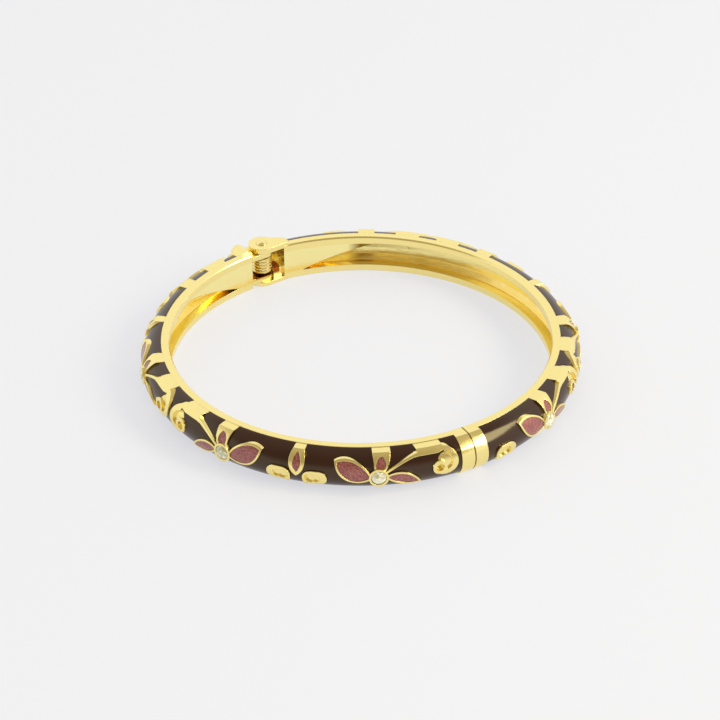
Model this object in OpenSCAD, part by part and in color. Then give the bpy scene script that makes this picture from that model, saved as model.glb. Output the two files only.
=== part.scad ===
// Hinged bangle: two cast halves with glossy enamel, crystal flowers and a sprung hinge.
// Millimetres, +Z up. The ring axis is Z and the bangle lies flat on Z = 0.
// Angles run counter-clockwise from +X.

/* [Ring] */
// Inside diameter of the closed bangle
inner_d = 58; // [56:0.5:64]
// Height of the band
band_h = 6.3; // [5.9:0.1:6.8]
// Width of the flat rim on the band's two edges
rim_w = 1.3; // [1:0.05:2]
// Chamfer of the rim's inner corners
rim_edge = 0.2; // [0.05:0.05:0.4]
// How far the enamel dome bulges beyond the rim
dome = 2.8; // [2.2:0.1:3.4]
// How far the gold relief stands above the enamel at mid height
relief = 0.35; // [0.2:0.05:0.6]
// Thickness of the enamel
enamel_t = 0.5; // [0.3:0.05:0.8]
// Height of the two lips beside the inside channel
lip_h = 1.2; // [0.9:0.05:1.6]
// Depth of the inside channel
channel_d = 2.3; // [1.5:0.1:2.6]

/* [Closure] */
// Angle of the closure seam
seam_az = 299.8; // [270:0.1:330]
// Angle from the hinge pin round the front half to the seam
hinge_span = 179.1; // [177:0.1:183]
// Angle that each polished end cap covers
cap_deg = 3.75; // [3:0.05:6]
// How far an end cap stands above the enamel
cap_up = 0.15; // [0.05:0.05:0.4]
// Gap between the two end caps when closed
seam_gap = 0.08; // [0.04:0.01:0.2]

/* [Hinge] */
// Distance from the ring's inside out to the axis of the hinge pin
pin_in = 1.7; // [1.5:0.05:2]
// Diameter of the hinge pin
pin_d = 1.2; // [0.8:0.05:1.4]
// Running clearance round the pin
pin_gap = 0.04; // [0.01:0.01:0.1]
// Thickness of each ear of the front half
ear_t = 0.85; // [0.6:0.05:1.1]
// Radius of the ears round the pin
ear_r = 1.7; // [1.5:0.05:1.9]
// Gap between an ear and the plate beside it
ear_gap = 0.06; // [0.04:0.01:0.15]
// Thickness of the bottom hinge plate
plate_t = 0.7; // [0.5:0.05:0.9]
// How far the top hinge plate stands above the rim
plate_up = 0.5; // [0.2:0.05:0.8]
// Radius of the hinge plates round the pin
plate_r = 2.1; // [1.9:0.05:2.2]
// Distance from the pin to the front half's end face
face_front = 2.9; // [2.7:0.05:3.4]
// Distance from the pin to the back half's end face
face_back = 3.2; // [2.8:0.05:3.6]
// Wire diameter of the return spring
wire_d = 0.5; // [0.3:0.05:0.55]
// Turns of the return spring
turns = 5; // [3:1:6]

/* [Flowers] */
// Width of the gold lines round the petals
line_w = 0.28; // [0.2:0.02:0.4]
// Diameter of the crystals
stone_d = 2.2; // [1.8:0.1:2.4]
// Height of the flower centres, as a share of the band's height
stone_at = 0.485; // [0.46:0.005:0.51]
// Gap between gold, enamel and crystals
fit_gap = 0.03; // [0.02:0.01:0.06]

/* [Hidden] */
$fn = 180;

r_in = inner_d / 2;
r_rim = r_in + rim_w;
zc = band_h / 2;
// The motifs are drawn for a band 6.3 mm high and grow with it
u = band_h / 6.3;
stone_z = stone_at * band_h;
// Enamel dome: one arc through both rim edges
dome_rad = (zc * zc + dome * dome) / (2 * dome);
dome_at = r_rim + dome - dome_rad;
r_dome = r_rim + dome;
// The relief follows the dome and is cut off just under the rims
relief_tip = 0.08;
r_relief = r_dome + relief;
r_channel = r_in + channel_d;
// Radial levels: the relief is drawn from inside the ring and kept from the core outward
start = r_in - 0.4;
core = r_in + 0.7;
// Floors of the enamel pockets and of the stone seats
pocket_at = r_channel + 0.6;
seat_at = r_channel + 1.05;
beyond = r_relief + 2;
bezel_r = stone_d / 2 + 0.35;
bezel_up = r_relief + 0.12;

hinge_az = seam_az - hinge_span;
pin_at = r_in + pin_in;
end_front = asin(face_front / pin_at);
end_back = asin(face_back / pin_at);
half_gap = seam_gap / 2 / r_in * 180 / PI;
front_from = hinge_az + end_front;
front_to = seam_az - half_gap;
back_from = seam_az + half_gap;
back_to = hinge_az + 360 - end_back;
hinge_cap = 3.9;
tail_cap = 2.4;
// How far the bands run past their end faces before these are cut, in degrees
over = 1.5;

top_plate_z = band_h - 0.4;
top_plate_t = 0.4 + plate_up;
ear_low = plate_t + ear_gap;
ear_high = top_plate_z - ear_gap - ear_t;
pin_low = 0.05;
head_r = pin_d / 2 + 0.3;
head_t = 0.25;
// How deep the ears and the two plates are rooted in their halves, and how much the plates taper
ear_root = 0.7;
plate_root = 0.8;
plate_taper = 0.35;
plate_slope = 2.4;
// Hinge box: outer radius, clearance to the ears, thickness behind the end face, sweep round the pin
box_r = 2.3;
box_gap = 0.2;
box_back = 0.6;
box_turn = 38;
// Step at its foot: distance from the ring's inside, width, distance from the pin and clearance to the ear
step_in = 0.4;
step_w = 2.1;
step_end = 1;
step_gap = 0.15;
// Rounded rise beside the top plate: radius, length, degrees from the end face, distance from the rim
knob_r = 1.15;
knob_len = 2.7;
knob_turn = 1;
knob_in = -0.5;

// Spring: room round the pin, over and under the coil, and between its legs and the two end faces
coil_gap = 0.5;
end_gap = 0.12;
leg_gap = 0.75;
leg_back = 0.3;

// Where the motifs stand: bud angle and half the angle between its two flowers
units_front = [[seam_az - 128.9, 19.5], [seam_az - 46.3, 20.7]];
units_back = [[seam_az + 89, 20.8]];
// Lone flowers of the back half: angle and the side to which the stem runs
lone_back = [[seam_az + 26, 1], [seam_az + 149.3, -1]];
// Angle from a lone flower back to the bud that the closure or the hinge cuts away
lone_off = 21.3;
// Run along the relief from a flower to its curl, and the angle it covers
curl_run = 10;
curl_off = curl_run * u / r_relief * 180 / PI;
// Centre and outer and inner radius of a curl, and the centre and radius of its pitted end
curl_mid = [0, 4.1];
curl_out = 2;
curl_in = 1.15;
curl_end = [-0.88, 3.45];
curl_end_r = 1.1;
// Centres and radius of the two rounds of a small curl
ring_a = [2.05, 2.5];
ring_b = [3.4, 2.55];
ring_r = 1.15;
// Depths: curl floor under the relief, petals under the relief, pits under the dome
floor_down = 0.35;
petal_down = 0.08;
pit_down = 0.3;

// Smooth plates beside the hinge: angle of the slanting edge's middle and half its run along the band
plate_front = [hinge_az + 22.2, 6];
plate_back = [hinge_az + 336.8, 5.75];
scoop_r = 2.3;
step_z = 2.3;
edge_gap = fit_gap / r_dome * 180 / PI;

flowers_front = [for (u = units_front) each [[u[0] - u[1], -1], [u[0] + u[1], 1]]];
flowers_back = concat([lone_back[0]], [for (u = units_back) each [[u[0] - u[1], -1], [u[0] + u[1], 1]]],
    [lone_back[1]]);
flowers = concat(flowers_front, flowers_back);

module turn(from, to) {
    rotate([0, 0, from])
        rotate_extrude(angle = to - from)
            children();
}

// Stands a flat outline in (tangent, Z) at an angle of the ring and pushes it outward between two levels
module push(az, from, to) {
    rotate([0, 0, az])
        rotate([90, 0, 90])
            translate([0, 0, from])
                linear_extrude(height = to - from)
                    children();
}

module dome_2d(up) {
    intersection() {
        translate([dome_at, zc])
            circle(dome_rad + up);
        translate([r_rim - 0.3 - max(up, 0), 0])
            square([dome + 2, band_h]);
    }
}

// Envelope of the gold relief
module relief_2d(inset) {
    intersection() {
        translate([dome_at, zc])
            circle(dome_rad + relief - inset);
        translate([core, relief_tip + inset / 2])
            square([dome + 4, band_h - 2 * relief_tip - inset]);
    }
}

module wall_2d() {
    polygon([[r_in, rim_edge], [r_in + rim_edge, 0], [r_rim, 0], [r_rim, band_h],
        [r_in + rim_edge, band_h], [r_in, band_h - rim_edge]]);
}

module channel_2d() {
    c = 0.8;
    polygon([[r_in - 1, lip_h], [r_channel - c, lip_h], [r_channel, lip_h + c],
        [r_channel, band_h - lip_h - c], [r_channel - c, band_h - lip_h], [r_in - 1, band_h - lip_h]]);
}

// Pointed leaf between two tips, bulging to the left and right of the line from tip a to tip b
module leaf(a, b, left, right, grow) {
    c = norm(b - a);
    rl = (c * c / 4 + left * left) / (2 * left);
    rr = (c * c / 4 + right * right) / (2 * right);
    translate(a)
        rotate(atan2(b[1] - a[1], b[0] - a[0]))
            intersection() {
                translate([c / 2, left - rl])
                    circle(rl + grow);
                translate([c / 2, rr - right])
                    circle(rr + grow);
            }
}

// Curved line from a to b that bulges to the left
module stroke(a, b, bulge, w) {
    c = norm(b - a);
    r = (c * c / 4 + bulge * bulge) / (2 * bulge);
    translate(a)
        rotate(atan2(b[1] - a[1], b[0] - a[0]))
            intersection() {
                translate([c / 2, bulge - r])
                    difference() {
                        circle(r + w / 2);
                        circle(r - w / 2);
                    }
                translate([0, -w])
                    square([c, bulge + 2 * w]);
            }
}

module petals_2d(grow) {
    leaf(u * [-6.3, 5.4], u * [-0.9, 2.9], 1.3 * u, 1.9 * u, grow);
    leaf(u * [0.9, 3.1], u * [6.2, 1.5], 1.35 * u, 0.8 * u, grow);
    leaf(u * [0.1, 3.6], u * [0.7, 6.15], 1.05 * u, 0.95 * u, grow);
}

// Gold of one flower: petals, bezel and the start of the stem
module flower_2d(grow) {
    petals_2d(grow);
    translate([0, stone_z])
        circle(bezel_r + grow);
    stroke(u * [1, 3.7], u * [6.1, 5.8], 0.3 * u, 1.15 * line_w + 2 * grow);
}

// Platform between a flower's top petal and the rim
module flower_ramp_2d(grow) {
    foot = 4.9 * u - grow;
    polygon([[-u - grow, band_h + 1], [-0.6 * u - grow, foot], [1.5 * u + grow, foot],
        [2.1 * u + grow, band_h + 1]]);
}

// Gold of the curl at the stem's end
module curl_2d(grow) {
    stroke(u * [-4.4, 5.6], u * [0.2, 5.85], 0.1 * u, 1.3 * line_w + 2 * grow);
    translate(u * curl_mid)
        difference() {
            circle(curl_out * u + grow);
            circle(curl_in * u - grow);
            translate([-3 * u, 0])
                square([3 * u - grow, 3 * u]);
        }
    translate(u * curl_end)
        circle(curl_end_r * u + grow);
}

// Platform between a curl and the rim
module curl_ramp_2d(grow) {
    foot = 5.5 * u - grow;
    polygon([[-4.1 * u - grow, band_h + 1], [-3.8 * u - grow, foot], [-u, foot], [0.1 * u, foot + 0.2 * u],
        [-0.3 * u + grow, band_h + 1]]);
}

// Lower gold floor inside the curl
module curl_floor_2d(grow) {
    translate(u * [0.15, 4])
        circle(1.3 * u + grow);
}

module curl_pit_2d() {
    translate(u * curl_end)
        circle((curl_end_r - 0.5) * u);
}

module bud_2d(grow) {
    leaf([0, band_h + 0.8], [0, 2.65 * u], 1.2 * u, 1.2 * u, grow);
}

module bud_ramp_2d(grow) {
    translate([-0.5 * u - grow, 5.7 * u - grow])
        square([u + 2 * grow, band_h]);
}

module bud_fill_2d(grow) {
    leaf(u * [0, 6], u * [0, 3.3], 0.6 * u, 0.6 * u, grow);
}

// Small curl beside a bud, on the side of positive tangent
module ring_2d(grow) {
    translate(u * ring_a)
        circle(ring_r * u + grow);
    translate(u * ring_b)
        circle(ring_r * u + grow);
    translate([ring_a[0] * u, (ring_b[1] - ring_r) * u - grow])
        square([(ring_b[0] - ring_a[0]) * u, 2 * ring_r * u + 2 * grow]);
    stroke(u * [1.35, 1.2], u * [1.2, 2.7], 0.15 * u, 1.4 * line_w + 2 * grow);
}

module ring_pit_2d() {
    translate(u * ring_a)
        circle((ring_r - 0.35) * u);
    translate(u * [ring_b[0] - 0.45, ring_a[1]])
        circle((ring_r - 0.5) * u);
}

module sided(side) {
    if (side < 0)
        mirror([1, 0])
            children();
    else
        children();
}

// Every gold outline of a half, pushed outward from one level
module motifs(list, units, lone, grow, from) {
    for (f = list) {
        push(f[0], from, beyond)
            sided(f[1]) {
                flower_2d(grow);
                flower_ramp_2d(grow);
            }
        push(f[0] + f[1] * curl_off, from, beyond)
            sided(f[1]) {
                curl_2d(grow);
                curl_ramp_2d(grow);
            }
    }
    for (v = units)
        push(v[0], from, beyond) {
            bud_2d(grow);
            bud_ramp_2d(grow);
            ring_2d(grow);
            mirror([1, 0])
                ring_2d(grow);
        }
    for (l = lone)
        push(l[0] - l[1] * lone_off, from, beyond)
            sided(l[1])
                ring_2d(grow);
}

module floors(list, grow, from) {
    for (f = list)
        push(f[0] + f[1] * curl_off, from, beyond)
            sided(f[1])
                curl_floor_2d(grow);
}

// Pockets sunk into the gold for petals, stones and the pitted curls
module pockets(list, units, lone) {
    for (f = list) {
        push(f[0], pocket_at, beyond)
            sided(f[1])
                petals_only_2d(-line_w);
        push(f[0], seat_at, beyond)
            translate([0, stone_z])
                circle(stone_d / 2 + fit_gap);
        push(f[0] + f[1] * curl_off, r_dome - pit_down, beyond)
            sided(f[1])
                curl_pit_2d();
    }
    for (v = units) {
        push(v[0], pocket_at, beyond)
            bud_fill_2d(0);
        for (s = [-1, 1])
            push(v[0], r_dome - pit_down, beyond)
                sided(s)
                    ring_pit_2d();
    }
    for (l = lone)
        push(l[0] - l[1] * lone_off, r_dome - pit_down, beyond)
            sided(l[1])
                ring_pit_2d();
}

// The enamelled part of the petals stops at the bezel
module petals_only_2d(grow) {
    difference() {
        petals_2d(grow);
        translate([0, stone_z])
            circle(bezel_r - grow - line_w);
    }
}

// Solid band between two angles, before the end faces and the inside channel are cut
module band(from, to, list, units, lone) {
    turn(from, to) {
        wall_2d();
        dome_2d(-enamel_t);
    }
    intersection() {
        motifs(list, units, lone, 0, start);
        turn(from, to)
            relief_2d(0);
    }
    intersection() {
        floors(list, 0, start);
        turn(from, to)
            relief_2d(floor_down);
    }
    for (f = list)
        push(f[0], core, bezel_up)
            translate([0, stone_z])
                circle(bezel_r);
}

// Inside channel between two angles; beside the hinge it slopes up to a smooth plate along a slanting line
module channel(from, to, az, run, side) {
    tall = band_h - 2 * lip_h;
    m = 2 * run / tall;
    back = scoop_r / sin(atan(1 / m));
    difference() {
        turn(from, to)
            channel_2d();
        difference() {
            push(az, r_in - 8, r_channel + 1)
                sided(side)
                    polygon([[-run - back - m * (lip_h + 1), band_h + 1], [2 * run, band_h + 1],
                        [2 * run, -1], [run - back + m * (lip_h + 1), -1]]);
            rotate([0, 0, az])
                rotate([90, 0, 90])
                    translate([-side * back, zc, r_channel - scoop_r])
                        rotate([0, 0, -side * atan(1 / m)])
                            rotate([0, 90, 0])
                                cylinder(h = 60, r = scoop_r, center = true);
        }
    }
}

// Dark enamel between two angles, cut clear of every gold outline
module enamel(from, to, list, units, lone) {
    difference() {
        turn(from, to)
            difference() {
                intersection() {
                    dome_2d(0);
                    translate([r_rim + fit_gap, 0])
                        square([dome + 1, band_h]);
                }
                dome_2d(fit_gap - enamel_t);
            }
        motifs(list, units, lone, fit_gap, start);
        floors(list, fit_gap, start);
    }
}

module petals(list, units, from, to) {
    intersection() {
        union() {
            for (f = list)
                push(f[0], pocket_at + fit_gap, beyond)
                    sided(f[1])
                        petals_only_2d(-line_w - fit_gap);
            for (v = units)
                push(v[0], pocket_at + fit_gap, beyond)
                    bud_fill_2d(-fit_gap);
        }
        turn(from, to)
            relief_2d(petal_down);
    }
}

// Frame at the hinge: X points outward, Y along the band toward the front half
module at_hinge() {
    rotate([0, 0, hinge_az])
        children();
}

module pin_hole() {
    at_hinge()
        translate([pin_at, 0, -1])
            cylinder(h = band_h + 3, r = pin_d / 2 + pin_gap);
}

module ear(z) {
    at_hinge()
        translate([0, 0, z])
            linear_extrude(height = ear_t) {
                translate([pin_at, 0])
                    circle(ear_r);
                translate([pin_at - ear_r, 0])
                    square([2 * ear_r, face_front + ear_root]);
            }
}

// Rounded rise of the front half's end beside the top plate
module knob() {
    intersection() {
        rotate([0, 0, front_from + knob_turn])
            rotate([0, 90, 0])
                translate([knob_r - plate_up - band_h, 0, r_rim + knob_in])
                    cylinder(h = knob_len, r = knob_r);
        translate([0, 0, top_plate_z])
            cylinder(h = band_h, r = r_dome);
    }
}

module plate(z, t, back) {
    at_hinge()
        translate([0, 0, z])
            linear_extrude(height = t) {
                translate([pin_at, 0])
                    circle(plate_r);
                polygon([[pin_at - plate_r, 0], [pin_at + plate_r, 0],
                    [pin_at + plate_r - plate_slope, -back], [pin_at - plate_r + plate_taper, -back]]);
            }
}

// Outer wall and inner step of the back half's hinge box
module hinge_box() {
    inside = ear_r + box_gap;
    wall = box_r - inside;
    low = ear_low + ear_t + ear_gap;
    tall = ear_high - ear_gap - low;
    at_hinge() {
        translate([pin_at + inside, -face_back - box_back, low])
            cube([wall, face_back + box_back, tall]);
        translate([pin_at, 0, low])
            rotate_extrude(angle = box_turn)
                translate([inside, 0])
                    square([wall, tall]);
        difference() {
            translate([r_in + step_in, -face_back - box_gap, 0])
                cube([step_w, face_back - step_end, step_z]);
            translate([pin_at, 0, -1])
                cylinder(h = step_z + 2, r = ear_r + step_gap);
        }
    }
}

// Takes off what runs past an end face, so that one plane makes the whole face
module trim(az, side) {
    rotate([0, 0, az])
        translate([r_in - lip_h, side > 0 ? 0 : r_in - r_relief, -lip_h])
            cube([r_relief - r_in + 2 * lip_h, r_relief - r_in, band_h + 3 * lip_h]);
}

module cap(from, to, up) {
    turn(from, to)
        dome_2d(up);
}

module front_half() {
    color("gold")
        difference() {
            union() {
                difference() {
                    union() {
                        band(front_from - over, front_to + over, flowers_front, units_front, []);
                        cap(front_to - cap_deg, front_to + over, cap_up);
                        turn(front_from - over, front_from + hinge_cap)
                            relief_2d(0.03);
                    }
                    trim(front_from, -1);
                    trim(front_to, 1);
                }
                ear(ear_low);
                ear(ear_high);
                knob();
            }
            channel(front_from, front_to - cap_deg, plate_front[0], plate_front[1], -1);
            pockets(flowers_front, units_front, []);
            pin_hole();
        }
}

module back_half() {
    color("gold")
        difference() {
            union() {
                difference() {
                    union() {
                        band(back_from - over, back_to + over, flowers_back, units_back, lone_back);
                        cap(back_from - over, back_from + cap_deg, cap_up);
                        cap(back_to - tail_cap, back_to + over, cap_up);
                    }
                    trim(back_from, -1);
                    trim(back_to, 1);
                }
                plate(top_plate_z, top_plate_t, face_back + plate_root - 0.1);
                plate(0, plate_t, face_back + plate_root);
                hinge_box();
            }
            channel(back_from + cap_deg, back_to, plate_back[0], plate_back[1], 1);
            pockets(flowers_back, units_back, lone_back);
            pin_hole();
        }
}

module front_enamel() {
    color("saddlebrown")
        enamel(front_from + hinge_cap + edge_gap, front_to - cap_deg - edge_gap, flowers_front,
            units_front, []);
}

module back_enamel() {
    color("saddlebrown")
        enamel(back_from + cap_deg + edge_gap, back_to - tail_cap - edge_gap, flowers_back, units_back,
            lone_back);
}

module front_petals() {
    color("plum")
        petals(flowers_front, units_front, front_from, front_to);
}

module back_petals() {
    color("plum")
        petals(flowers_back, units_back, back_from, back_to);
}

// Round crystal with a table, eight star facets, eight kites, sixteen halves and a pavilion
module crystal(k) {
    rg = stone_d / 2;
    rt = 0.56 * rg;
    rs = 0.8 * rg;
    zt = 0.36 * rg;
    zs = zt * (rg - rs * cos(22.5)) / (rg - rt);
    zb = -0.07 * rg;
    table = [for (i = [0:7]) [rt * cos(45 * i), rt * sin(45 * i), zt]];
    stars = [for (i = [0:7]) [rs * cos(45 * i + 22.5), rs * sin(45 * i + 22.5), zs]];
    top = [for (j = [0:15]) [rg * cos(22.5 * j), rg * sin(22.5 * j), 0]];
    low = [for (j = [0:15]) [rg * cos(22.5 * j), rg * sin(22.5 * j), zb]];
    tip = [[0, 0, -0.85 * rg]];
    color("lightcyan")
        rotate([0, 0, flowers[k][0]])
            rotate([90, 0, 90])
                translate([0, stone_z, r_relief + 0.02])
                    polyhedron(points = concat(table, stars, top, low, tip), faces = concat(
                        [[7, 6, 5, 4, 3, 2, 1, 0]],
                        [for (i = [0:7]) [i, (i + 1) % 8, 8 + i]],
                        [for (i = [0:7]) [i, 8 + i, 16 + 2 * i, 8 + (i + 7) % 8]],
                        [for (i = [0:7]) [8 + i, 16 + (2 * i + 1) % 16, 16 + 2 * i]],
                        [for (i = [0:7]) [8 + i, 16 + (2 * i + 2) % 16, 16 + (2 * i + 1) % 16]],
                        [for (j = [0:15]) [16 + j, 16 + (j + 1) % 16, 32 + (j + 1) % 16, 32 + j]],
                        [for (j = [0:15]) [32 + j, 32 + (j + 1) % 16, 48]]));
}

module hinge_pin() {
    top = top_plate_z + top_plate_t;
    color("goldenrod")
        at_hinge()
            translate([pin_at, 0, 0]) {
                translate([0, 0, pin_low])
                    cylinder(h = top - pin_low + 0.1, r = pin_d / 2);
                intersection() {
                    translate([0, 0, top + fit_gap])
                        cylinder(h = head_t, r = head_r);
                    translate([0, 0, top + head_t - 2 * head_r])
                        sphere(2 * head_r + 0.02);
                }
            }
}

// Torsion spring round the pin, one leg along each half
module hinge_spring() {
    steps = 24;
    sides = 10;
    r = (pin_d + wire_d) / 2 + coil_gap;
    z0 = ear_low + ear_t + wire_d / 2 + end_gap;
    z1 = ear_high - wire_d / 2 - end_gap;
    n = steps * turns;
    path = concat([[0, leg_back - face_back, z0]],
        [for (i = [0:n]) [360 * i / steps, 0, z0 + (z1 - z0) * i / n]],
        [[0, face_front - leg_gap, z1]]);
    last = len(path) - 1;
    color("gold")
        at_hinge()
            translate([pin_at, 0, 0])
                polyhedron(
                    points = [for (p = path, j = [0:sides - 1])
                        let (q = r + wire_d / 2 * cos(360 * j / sides))
                        [q * cos(p[0]), q * sin(p[0]) + p[1], p[2] + wire_d / 2 * sin(360 * j / sides)]],
                    faces = concat(
                        [[for (j = [0:sides - 1]) sides - 1 - j]],
                        [[for (j = [0:sides - 1]) sides * last + j]],
                        [for (i = [0:last - 1], j = [0:sides - 1])
                            [i * sides + j, i * sides + (j + 1) % sides, (i + 1) * sides + j]],
                        [for (i = [0:last - 1], j = [0:sides - 1])
                            [i * sides + (j + 1) % sides, (i + 1) * sides + (j + 1) % sides,
                                (i + 1) * sides + j]]));
}

front_half();
back_half();
front_enamel();
back_enamel();
front_petals();
back_petals();
crystal(0);  // crystal_1
crystal(1);  // crystal_2
crystal(2);  // crystal_3
crystal(3);  // crystal_4
crystal(4);  // crystal_5
crystal(5);  // crystal_6
crystal(6);  // crystal_7
crystal(7);  // crystal_8
hinge_pin();
hinge_spring();
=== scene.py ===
# %% [markdown]
# # A hinged bangle in gold plate and enamel
# The imported CAD model of the bangle is loaded and dressed: plated metal, dark hard enamel, glittering
# petals and cut crystals. Everything is in metres, the ring lies on Z = 0 and its axis is Z.
# Nothing of the CAD is moved here; its surfaces only get their finish.

# %% Load the frame
import bpy
import math
from mathutils import Matrix, Quaternion, Vector

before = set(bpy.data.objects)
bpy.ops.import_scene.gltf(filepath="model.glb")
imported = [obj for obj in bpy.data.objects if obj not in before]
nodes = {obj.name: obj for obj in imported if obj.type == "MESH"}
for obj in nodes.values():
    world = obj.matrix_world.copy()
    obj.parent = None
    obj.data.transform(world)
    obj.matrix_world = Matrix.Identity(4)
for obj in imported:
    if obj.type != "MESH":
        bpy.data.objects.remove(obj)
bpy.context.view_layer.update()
print("nodes:", sorted(nodes))

# %% [markdown]
# ## Colours
# Paint charts and photographs give colours as sRGB hex values, while Blender's sockets are linear. One
# function does the conversion, so that every finish below can be written the way a colour picker shows it.

# %% Colour helper


def linear(hex_code):
    parts = [int(hex_code[i:i + 2], 16) / 255 for i in (0, 2, 4)]
    curve = [p / 12.92 if p <= 0.04045 else ((p + 0.055) / 1.055) ** 2.4 for p in parts]
    return (*curve, 1.0)


print("middle grey, linear:", [round(c, 3) for c in linear("808080")])

# %% [markdown]
# ## A small node helper
# A procedural finish is a graph of nodes. One function adds a node of any kind and sets its properties. It
# calls a second one, which fills a node's inputs, each with a value or with another node's output. Many tones
# fade in between two limits, and a short function writes such a pair of limits, with what comes out at each,
# as the inputs of a Map Range node.

# %% Node helper


def fill(tree, node, inputs):
    for key, value in inputs.items():
        if isinstance(value, bpy.types.NodeSocket):
            tree.links.new(value, node.inputs[key])
        else:
            node.inputs[key].default_value = value


def add(tree, kind, inputs=None, **settings):
    made = tree.nodes.new(kind)
    for key, value in settings.items():
        setattr(made, key, value)
    fill(tree, made, inputs or {})
    return made


def span(limits, results=(0.0, 1.0)):
    return {"From Min": limits[0], "From Max": limits[1], "To Min": results[0], "To Max": results[1]}


def new_finish(name):
    finish = bpy.data.materials.new(name)
    finish.use_nodes = True
    tree = finish.node_tree
    tree.nodes.clear()
    shader = add(tree, "ShaderNodeBsdfPrincipled")
    add(tree, "ShaderNodeOutputMaterial", {"Surface": shader.outputs["BSDF"]})
    return finish, tree, shader


MM = 0.001
print("inputs of a fade:", span((0.0, 1.0)))

# %% [markdown]
# ## Gold plate
# The halves are dressed as cast brass with a thin pale gold plate, tumbled bright outside and left as cast in
# the channel inside. A metal is its colour, its roughness and its small bumps. The radii, heights and angles
# below place these tones on the ring. They are the CAD model's, but for the channel's radius, which is
# 0.05 mm more here, and the lips' height, which is 0.02 mm more.

# %% Measures of the ring
R_CHANNEL = 31.35 * MM
LIP = 1.22 * MM
BAND = 6.3 * MM
SEAM = math.radians(299.8)
HINGE = SEAM - math.radians(179.1)
PIN_R = 30.7 * MM
PIN_AT = (PIN_R * math.cos(HINGE), PIN_R * math.sin(HINGE), 0)
print("hinge pin at", [round(c / MM, 1) for c in PIN_AT[:2]], "mm")

# %% [markdown]
# Five places of the plate have a tone of their own: the channel's foot with painted shade, the rest of the
# channel with painted light toward its top, a painted shade under the upper lip, a darker line along the
# joint between the two end caps, and painted shade with gold inter-reflection inside the hinge box.

# %% Tones of the plate
PALE_GOLD = linear("FCE99A")
# Painted shade at the channel's foot and painted light at its top.
CHANNEL_FOOT_SHADED = linear("FFDC74")
CHANNEL_TOP_LIT = linear("FFF2A8")
# Painted shade under the channel's upper lip.
PAINTED_LIP_SHADE = linear("86640F")
# A darker brown for the line along the joint between the two end caps.
JOINT_BROWN = linear("9C7420")
# Painted shade and gold inter-reflection inside the hinge box.
PAINTED_BOX_SHADE = linear("A45A14")
print("pale gold, linear:", [round(c, 3) for c in PALE_GOLD])

# %% [markdown]
# Each pair holds the limit where a tone begins and the one where it is full. The pairs named OFF_MID count
# from the middle of the band's height. The two pairs of heights count from the table, and include the bend
# that the cast grain gives to the borders in the channel, about 0.8 mm on average.

# %% Limits of the tones
CHANNEL_RADII = (R_CHANNEL, R_CHANNEL - 0.1 * MM)
CHANNEL_OFF_MID = (BAND / 2 - LIP + 0.05 * MM, BAND / 2 - LIP - 0.1 * MM)
BORDER_BEND = 1.6 * MM
LIP_SHADE_HEIGHTS = (3.7 * MM, 4.0 * MM)
LIP_SHADE_RIGHT = (14 * MM, 0.0)
LIP_SHADE_LEFT = (-2 * MM, 0.0)
PAINTED_LIGHT_HEIGHTS = (2.2 * MM, 3.4 * MM)
JOINT_REACH = (0.17 * MM, 0.07 * MM)
JOINT_COVER = 0.85
FROM_PIN = (2.8 * MM, 2.65 * MM)
WINDOW_OFF_MID = (1.8 * MM, 1.5 * MM)
BOX_RADII = (PIN_R + 2.1 * MM, PIN_R + 1.95 * MM)
print("the joint line is", round(2 * JOINT_REACH[0] / MM, 2), "mm wide")

# %% [markdown]
# First the finish learns where a point lies: how far from the ring's axis, how far from the middle of the
# band's height, and from both whether it is in the channel.

# %% Places on the ring
gold, tree, shader = new_finish("gold_plated_brass")
place = add(tree, "ShaderNodeTexCoord").outputs["Object"]
axes = add(tree, "ShaderNodeSeparateXYZ", {0: place})
flat = add(tree, "ShaderNodeCombineXYZ", {"X": axes.outputs["X"], "Y": axes.outputs["Y"]})
radius = add(tree, "ShaderNodeVectorMath", {0: flat.outputs[0]}, operation="LENGTH").outputs["Value"]
inside = add(tree, "ShaderNodeMapRange", {"Value": radius, **span(CHANNEL_RADII)})
from_mid = add(tree, "ShaderNodeMath", {0: axes.outputs["Z"], 1: BAND / 2}, operation="SUBTRACT")
off_mid = add(tree, "ShaderNodeMath", {0: from_mid.outputs[0]}, operation="ABSOLUTE")
between = add(tree, "ShaderNodeMapRange", {"Value": off_mid.outputs[0], **span(CHANNEL_OFF_MID)})
cast = add(tree, "ShaderNodeMath", {0: inside.outputs[0], 1: between.outputs[0]}, operation="MULTIPLY")
print("finish:", gold.name, "places from", len(tree.nodes), "nodes")

# %% [markdown]
# The plate keeps soft tumbling ripples about 1 mm wide, and in the channel also the cast grain, which is
# rolled out along the band and drawn three times as long as it is high. The Bevel node rounds the edges for
# the light only, which is far lighter than modelling a tenth-of-a-millimetre fillet on every outline.

# %% Bumps and roughness of the plate
RIPPLE = 1.1 * MM
RIPPLE_DEPTH = 0.03 * MM
RIPPLE_STRENGTH = 0.4
GRAIN = 0.7 * MM
GRAIN_DEPTH = 0.12 * MM
GRAIN_STRENGTH = 0.45
GRAIN_LENGTH = 3
GOLD_EDGE = 0.13 * MM
PLATE_ROUGHNESS = (0.17, 0.24)
ROUGHNESS_PATCHES = (-0.04, 0.05)

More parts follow.
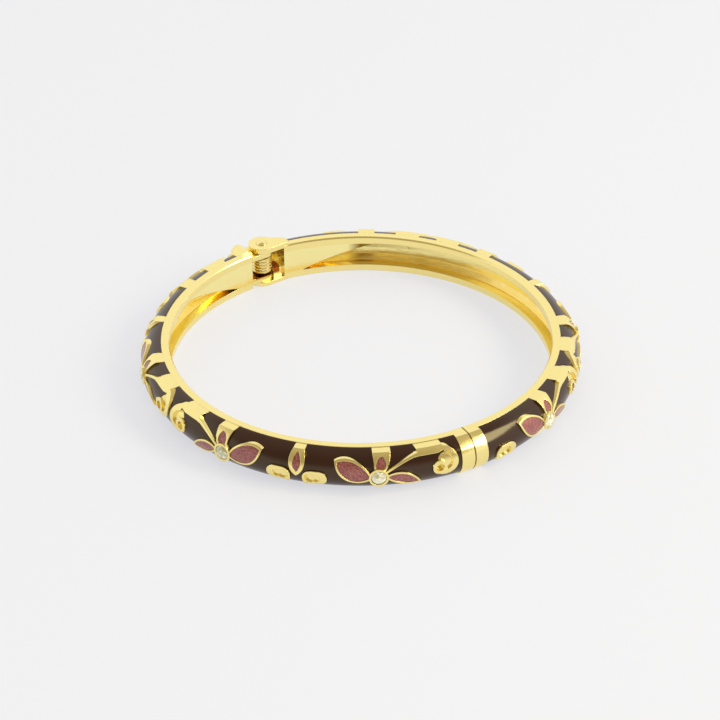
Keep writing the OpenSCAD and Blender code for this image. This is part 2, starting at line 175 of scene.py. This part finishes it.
ripple = add(tree, "ShaderNodeTexNoise", {"Vector": place, "Scale": 1 / RIPPLE, "Detail": 3.0})
around = add(tree, "ShaderNodeMath", {0: axes.outputs["Y"], 1: axes.outputs["X"]}, operation="ARCTAN2")
along = add(tree, "ShaderNodeMath", {0: around.outputs[0], 1: R_CHANNEL / GRAIN_LENGTH},
            operation="MULTIPLY")
rolled_out = add(tree, "ShaderNodeCombineXYZ",
                 {"X": along.outputs[0], "Y": axes.outputs["Z"], "Z": radius})
grain = add(tree, "ShaderNodeTexNoise",
            {"Vector": rolled_out.outputs[0], "Scale": 1 / GRAIN, "Detail": 3.0, "Roughness": 0.6})
edges = add(tree, "ShaderNodeBevel", {"Radius": GOLD_EDGE}, samples=6)
rippled = add(tree, "ShaderNodeBump",
              {"Height": ripple.outputs["Fac"], "Strength": RIPPLE_STRENGTH, "Distance": RIPPLE_DEPTH,
               "Normal": edges.outputs["Normal"]})
pitted_by = add(tree, "ShaderNodeMath", {0: cast.outputs[0], 1: GRAIN_STRENGTH}, operation="MULTIPLY")
pitted = add(tree, "ShaderNodeBump",
             {"Height": grain.outputs["Fac"], "Strength": pitted_by.outputs[0], "Distance": GRAIN_DEPTH,
              "Normal": rippled.outputs["Normal"]})
rough = add(tree, "ShaderNodeMapRange", {"Value": cast.outputs[0], **span((0.0, 1.0), PLATE_ROUGHNESS)})
patch = add(tree, "ShaderNodeMapRange",
            {"Value": ripple.outputs["Fac"], **span((0.0, 1.0), ROUGHNESS_PATCHES)})
rough_all = add(tree, "ShaderNodeMath", {0: rough.outputs[0], 1: patch.outputs[0]}, operation="ADD")
print("bevel of the metal:", round(GOLD_EDGE / MM, 2), "mm")

# %% [markdown]
# In the channel the plate turns warmer and deeper toward the bottom and paler toward the top: painted shade
# below and painted light above. Under the upper lip a painted brown shade lies where X is 0, and it fades out
# at -2 mm and at 14 mm. The grain bends the borders of both tones.

# %% Channel tones
wavy = add(tree, "ShaderNodeMath", {0: grain.outputs["Fac"], 1: BORDER_BEND, 2: axes.outputs["Z"]},
           operation="MULTIPLY_ADD")
# Painted shade: a brown band under the upper lip of the channel.
shade = add(tree, "ShaderNodeMapRange", {"Value": wavy.outputs[0], **span(LIP_SHADE_HEIGHTS)},
            interpolation_type="SMOOTHSTEP")
beside = add(tree, "ShaderNodeMapRange", {"Value": axes.outputs["X"], **span(LIP_SHADE_RIGHT)})
clear = add(tree, "ShaderNodeMapRange", {"Value": axes.outputs["X"], **span(LIP_SHADE_LEFT)})
spot = add(tree, "ShaderNodeMath", {0: beside.outputs[0], 1: clear.outputs[0]}, operation="MULTIPLY")
painted_lip_shade_mask = add(tree, "ShaderNodeMath", {0: shade.outputs[0], 1: spot.outputs[0]}, operation="MULTIPLY")
# Painted light and shade: the channel is painted paler toward its top and deeper toward its foot.
height = add(tree, "ShaderNodeMapRange", {"Value": wavy.outputs[0], **span(PAINTED_LIGHT_HEIGHTS)})
painted_channel_light = add(tree, "ShaderNodeMix", {"Factor": height.outputs[0], "A": CHANNEL_FOOT_SHADED, "B": CHANNEL_TOP_LIT},
           data_type="RGBA")
lip_shaded_channel = add(tree, "ShaderNodeMix",
             {"Factor": painted_lip_shade_mask.outputs[0], "A": painted_channel_light.outputs["Result"], "B": PAINTED_LIP_SHADE}, data_type="RGBA")
tone = add(tree, "ShaderNodeMix",
           {"Factor": cast.outputs[0], "A": PALE_GOLD, "B": lip_shaded_channel.outputs["Result"]}, data_type="RGBA")
print("channel tones in place,", len(tree.nodes), "nodes so far")

# %% [markdown]
# A darker brown line runs along the joint between the two end caps. The joint's plane also cuts the
# far side of the ring, so the line is kept to the near side, where Y is below 0.

# %% Joint line
across = add(tree, "ShaderNodeVectorMath", {0: place, 1: (-math.sin(SEAM), math.cos(SEAM), 0)},
             operation="DOT_PRODUCT").outputs["Value"]
beyond = add(tree, "ShaderNodeMath", {0: across}, operation="ABSOLUTE")
near_side = add(tree, "ShaderNodeMath", {0: axes.outputs["Y"], 1: 0.0}, operation="LESS_THAN")
joint = add(tree, "ShaderNodeMapRange",
            {"Value": beyond.outputs[0], **span(JOINT_REACH, (0.0, JOINT_COVER))})
joint_line_mask = add(tree, "ShaderNodeMath", {0: joint.outputs[0], 1: near_side.outputs[0]}, operation="MULTIPLY")
joint_toned = add(tree, "ShaderNodeMix",
           {"Factor": joint_line_mask.outputs[0], "A": tone.outputs["Result"], "B": JOINT_BROWN}, data_type="RGBA")
print("joint line in place,", len(tree.nodes), "nodes so far")

# %% [markdown]
# Inside the hinge box the plate is painted a deep amber, a painted shade with gold inter-reflection: close
# to the pin, away from the band's two rims, and not on the outside of the box.

# %% Hinge window and the finished plate
from_pin = add(tree, "ShaderNodeVectorMath", {0: flat.outputs[0], 1: PIN_AT},
               operation="DISTANCE").outputs["Value"]
near_pin = add(tree, "ShaderNodeMapRange", {"Value": from_pin, **span(FROM_PIN)})
window = add(tree, "ShaderNodeMapRange", {"Value": off_mid.outputs[0], **span(WINDOW_OFF_MID)})
in_box = add(tree, "ShaderNodeMapRange", {"Value": radius, **span(BOX_RADII)})
in_window = add(tree, "ShaderNodeMath", {0: near_pin.outputs[0], 1: window.outputs[0]},
                operation="MULTIPLY")
# Painted shade inside the hinge box.
painted_box_shade_mask = add(tree, "ShaderNodeMath", {0: in_window.outputs[0], 1: in_box.outputs[0]},
             operation="MULTIPLY")
box_shaded_plate = add(tree, "ShaderNodeMix",
           {"Factor": painted_box_shade_mask.outputs[0], "A": joint_toned.outputs["Result"], "B": PAINTED_BOX_SHADE}, data_type="RGBA")
fill(tree, shader, {
    "Base Color": box_shaded_plate.outputs["Result"],
    "Roughness": rough_all.outputs[0],
    "Normal": pitted.outputs["Normal"],
    "Metallic": 1.0,
})
print("finish:", gold.name, "nodes", len(tree.nodes))

# %% [markdown]
# ## Spring wire
# The torsion spring is drawn wire with the same kind of plate. Drawing leaves fine lines along the wire, too
# fine to see here, so a fine noise in the roughness stands for them.

# %% Drawn plated wire
WIRE_NOISE = 0.2 * MM
WIRE_ROUGHNESS = (0.16, 0.32)

wire, tree, shader = new_finish("drawn_plated_wire")
place = add(tree, "ShaderNodeTexCoord").outputs["Object"]
lines = add(tree, "ShaderNodeTexNoise", {"Vector": place, "Scale": 1 / WIRE_NOISE, "Detail": 2.0})
dulled = add(tree, "ShaderNodeMapRange",
             {"Value": lines.outputs["Fac"], **span((0.0, 1.0), WIRE_ROUGHNESS)})
fill(tree, shader, {
    "Base Color": linear("FFEFAE"),
    "Roughness": dulled.outputs[0],
    "Metallic": 1.0,
})
print("finish:", wire.name)

# %% [markdown]
# ## Dark enamel
# Hard enamel is coloured glass or resin, filled into the cells, cured and polished: a smooth, deep and
# glossy surface, with an IOR of 1.6 here. Its colour is a burgundy brown that is nearly black, and what the
# eye reads is mostly the studio mirrored in it. It creeps up the metal at its edges, which the Bevel node
# draws as a soft roll.

# %% Burgundy brown enamel
CLOUD = 4 * MM
FLOW = 2.5 * MM
FLOW_DEPTH = 0.05 * MM
ENAMEL_EDGE = 0.12 * MM

enamel, tree, shader = new_finish("burgundy_hard_enamel")
place = add(tree, "ShaderNodeTexCoord").outputs["Object"]
cloud = add(tree, "ShaderNodeTexNoise", {"Vector": place, "Scale": 1 / CLOUD, "Detail": 2.0})
depth = add(tree, "ShaderNodeMix",
            {"Factor": cloud.outputs["Fac"], "A": linear("280507"), "B": linear("340A09")},
            data_type="RGBA")
flow = add(tree, "ShaderNodeTexNoise", {"Vector": place, "Scale": 1 / FLOW, "Detail": 1.0})
roll = add(tree, "ShaderNodeBevel", {"Radius": ENAMEL_EDGE}, samples=4)
wave = add(tree, "ShaderNodeBump",
           {"Height": flow.outputs["Fac"], "Strength": 0.2, "Distance": FLOW_DEPTH,
            "Normal": roll.outputs["Normal"]})
fill(tree, shader, {
    "Base Color": depth.outputs["Result"],
    "Normal": wave.outputs["Normal"],
    "Roughness": 0.16,
    "IOR": 1.6,
    "Specular Tint": linear("FFF5CC"),
})
print("finish:", enamel.name)

# %% [markdown]
# ## Petal enamel
# The petals hold a rose plum enamel with fine glitter flakes under a clear coat. A Voronoi pattern with cells
# of about 0.12 mm gives every flake its own tone and tilt.

# %% Plum glitter enamel
FLAKE = 0.12 * MM
FLAKE_TILT = 0.03 * MM
FLAKE_SHARES = (0.2, 1.0)

petal, tree, shader = new_finish("plum_glitter_enamel")
place = add(tree, "ShaderNodeTexCoord").outputs["Object"]
flakes = add(tree, "ShaderNodeTexVoronoi", {"Vector": place, "Scale": 1 / FLAKE})
pick = add(tree, "ShaderNodeSeparateColor", {"Color": flakes.outputs["Color"]})
ramp = add(tree, "ShaderNodeMapRange", {"Value": pick.outputs["Red"], **span(FLAKE_SHARES)})
tone = add(tree, "ShaderNodeMix", {"Factor": ramp.outputs[0], "A": linear("843A3A"), "B": linear("BC766C")},
           data_type="RGBA")
tilt = add(tree, "ShaderNodeBump",
           {"Height": pick.outputs["Green"], "Strength": 0.35, "Distance": FLAKE_TILT})
fill(tree, shader, {
    "Base Color": tone.outputs["Result"],
    "Normal": tilt.outputs["Normal"],
    "Metallic": 0.25,
    "Roughness": 0.32,
    "Coat Weight": 0.7,
    "Coat Roughness": 0.06,
})
print("finish:", petal.name)

# %% [markdown]
# ## Crystal
# The stones are dressed as cut lead glass with a mirror foil on the back, which throws the light out again
# and makes them look pale yellowish white. The foil's image of the pavilion facets is drawn with Voronoi
# cells of about 0.45 mm, each with its own tilt and a painted brightness, a painted sparkle, under a clear
# coat with an IOR of 1.56, which lies on the crown facets of the CAD model.

# %% Foiled lead glass
PAVILION_CELL = 0.45 * MM
CELL_TILT = 0.08 * MM
CELL_SHARES = (0.1, 0.7)

crystal, tree, shader = new_finish("foiled_lead_glass")
place = add(tree, "ShaderNodeTexCoord").outputs["Object"]
facets = add(tree, "ShaderNodeTexVoronoi", {"Vector": place, "Scale": 1 / PAVILION_CELL})
pick = add(tree, "ShaderNodeSeparateColor", {"Color": facets.outputs["Color"]})
# Painted sparkle: each cell of the foil gets a paler or darker painted brightness.
painted_sparkle = add(tree, "ShaderNodeMapRange", {"Value": pick.outputs["Red"], **span(CELL_SHARES)})
tone = add(tree, "ShaderNodeMix", {"Factor": painted_sparkle.outputs[0], "A": linear("C6C294"), "B": linear("FFFFE6")},
           data_type="RGBA")
tilt = add(tree, "ShaderNodeBump",
           {"Height": pick.outputs["Green"], "Strength": 0.6, "Distance": CELL_TILT})
fill(tree, shader, {
    "Base Color": tone.outputs["Result"],
    "Normal": tilt.outputs["Normal"],
    "Metallic": 0.1,
    "Roughness": 0.12,
    "Coat Weight": 1.0,
    "Coat IOR": 1.56,
    "Coat Roughness": 0.02,
})
print("finish:", crystal.name)

# %% [markdown]
# ## Dressing the CAD nodes
# Each CAD node keeps its shape and its shading as loaded, and only gets its finish. The finish follows from
# the node's name.

# %% Assign the finishes
for name, part in nodes.items():
    if name.startswith("crystal"):
        finish = crystal
    elif name.endswith("_enamel"):
        finish = enamel
    elif name.endswith("_petals"):
        finish = petal
    elif name == "hinge_spring":
        finish = wire
    else:
        finish = gold
    part.data.materials.clear()
    part.data.materials.append(finish)
    print(name, "->", finish.name, len(part.data.polygons), "faces")

# %% [markdown]
# ## Table and light
# The bangle lies on a sheet of opal acrylic that is also lit from below, so that the shadow is only a faint
# grey. Round it stands a light tent: white low behind and at the sides, dimmer and warmer above and toward
# the camera, with a paler card low in front. Polished metal and enamel mostly show this surrounding. One warm
# softbox stands to the right, turned about its own axis.

# %% Opal table
HALF_SIDE = 3.0
MOTTLE = 2 * MM
GLOW = 0.643

floor_mesh = bpy.data.meshes.new("floor")
corners = [(-HALF_SIDE, -HALF_SIDE, 0), (HALF_SIDE, -HALF_SIDE, 0), (HALF_SIDE, HALF_SIDE, 0),
           (-HALF_SIDE, HALF_SIDE, 0)]
floor_mesh.from_pydata(corners, [], [(0, 1, 2, 3)])
floor = bpy.data.objects.new("floor", floor_mesh)
bpy.context.scene.collection.objects.link(floor)
opal, tree, shader = new_finish("opal_acrylic")
place = add(tree, "ShaderNodeTexCoord").outputs["Object"]
mottle = add(tree, "ShaderNodeTexNoise", {"Vector": place, "Scale": 1 / MOTTLE, "Detail": 2.0})
pale = add(tree, "ShaderNodeMix",
           {"Factor": mottle.outputs["Fac"], "A": linear("96989B"), "B": linear("989A9D")},
           data_type="RGBA")
fill(tree, shader, {
    "Base Color": pale.outputs["Result"],
    "Roughness": 0.9,
    "Specular IOR Level": 0.0,
    "Emission Color": linear("F8F9FF"),
    "Emission Strength": GLOW,
})
floor_mesh.materials.append(opal)
print("table:", opal.name)

# %% [markdown]
# The tent is a world background. What a direction has of backward and sideways is added up, and what it has
# of upward is taken off: where 0.24 or more is left, the tent is white. Where nothing is left, it has the
# front strengths below and the card's, and between the two it passes smoothly from one to the other.

# %% Light tent
SIDEWAYS = 1.2
FRONT_DIRECTIONS = (0.0, -0.55)
FRONT_STRENGTHS = (0.56, 0.42)
CARD_HEIGHTS = (0.1, 0.35)
CARD_STRENGTHS = (0.35, 0.0)
WHITE_FROM_TO = (0.0, 0.24)

world = bpy.data.worlds.new("light_tent")
bpy.context.scene.world = world
world.use_nodes = True
tree = world.node_tree
tree.nodes.clear()
way = add(tree, "ShaderNodeTexCoord").outputs["Generated"]
turned = add(tree, "ShaderNodeSeparateXYZ", {0: way})
aside = add(tree, "ShaderNodeMath", {0: turned.outputs["X"]}, operation="ABSOLUTE")
back = add(tree, "ShaderNodeMath", {0: aside.outputs[0], 1: SIDEWAYS, 2: turned.outputs["Y"]},
           operation="MULTIPLY_ADD")
low = add(tree, "ShaderNodeMath", {0: back.outputs[0], 1: turned.outputs["Z"]}, operation="SUBTRACT")
dim = add(tree, "ShaderNodeMapRange",
          {"Value": turned.outputs["Y"], **span(FRONT_DIRECTIONS, FRONT_STRENGTHS)})
card = add(tree, "ShaderNodeMapRange",
           {"Value": turned.outputs["Z"], **span(CARD_HEIGHTS, CARD_STRENGTHS)})
front = add(tree, "ShaderNodeMath", {0: dim.outputs[0], 1: card.outputs[0]}, operation="ADD")
lit = add(tree, "ShaderNodeMapRange",
          {"Value": low.outputs[0], **span(WHITE_FROM_TO, (front.outputs[0], 1.0))},
          interpolation_type="SMOOTHSTEP")
cloth = add(tree, "ShaderNodeMix", {"Factor": lit.outputs[0], "A": linear("FFE2A8"), "B": linear("FFFFFF")},
            data_type="RGBA")
tent = add(tree, "ShaderNodeBackground", {"Color": cloth.outputs["Result"], "Strength": lit.outputs[0]})
add(tree, "ShaderNodeOutputWorld", {"Surface": tent.outputs[0]})
print("world:", world.name, "nodes", len(tree.nodes))

# %% Softbox


def softbox(name, at, toward, wide, high, roll, watts):
    lamp = bpy.data.lights.new(name, "AREA")
    lamp.shape = "RECTANGLE"
    lamp.size = wide
    lamp.size_y = high
    lamp.energy = watts
    lamp.color = linear("FFF4D2")[:3]
    box = bpy.data.objects.new(name, lamp)
    box.location = at
    aim = (Vector(toward) - Vector(at)).to_track_quat("-Z", "Y")
    box.rotation_euler = (aim @ Quaternion((0, 0, 1), math.radians(roll))).to_euler()
    bpy.context.scene.collection.objects.link(box)


softbox("key_softbox", at=(0.47, -0.14, 0.35), toward=(0, 0, 0), wide=0.4, high=0.2, roll=38, watts=1.85)

# %% [markdown]
# ## Camera
# The photograph was taken from about 33 degrees above the table with a long lens, which hardly shrinks the
# far side of the ring. Elevation, distance and focal length were fitted to the two rims of the bangle.

# %% Camera
ELEVATION = math.radians(32.85)
CAMERA_ROLL = math.radians(-0.38)
CAMERA_AT = Vector((-0.145, -387.28, 251.69)) * MM

camera_data = bpy.data.cameras.new("camera")
camera_data.sensor_width = 36
camera_data.lens = 151.05
camera_data.clip_start = 0.01
camera_data.clip_end = 20
camera = bpy.data.objects.new("camera", camera_data)
camera.location = CAMERA_AT
look = Vector((0, math.cos(ELEVATION), -math.sin(ELEVATION))).to_track_quat("-Z", "Y").to_matrix()
camera.rotation_euler = (look @ Matrix.Rotation(CAMERA_ROLL, 3, "Z")).to_euler()
bpy.context.scene.collection.objects.link(camera)
bpy.context.scene.camera = camera
bpy.context.scene.view_settings.view_transform = "Standard"
print("camera at", [round(c, 3) for c in camera.location])
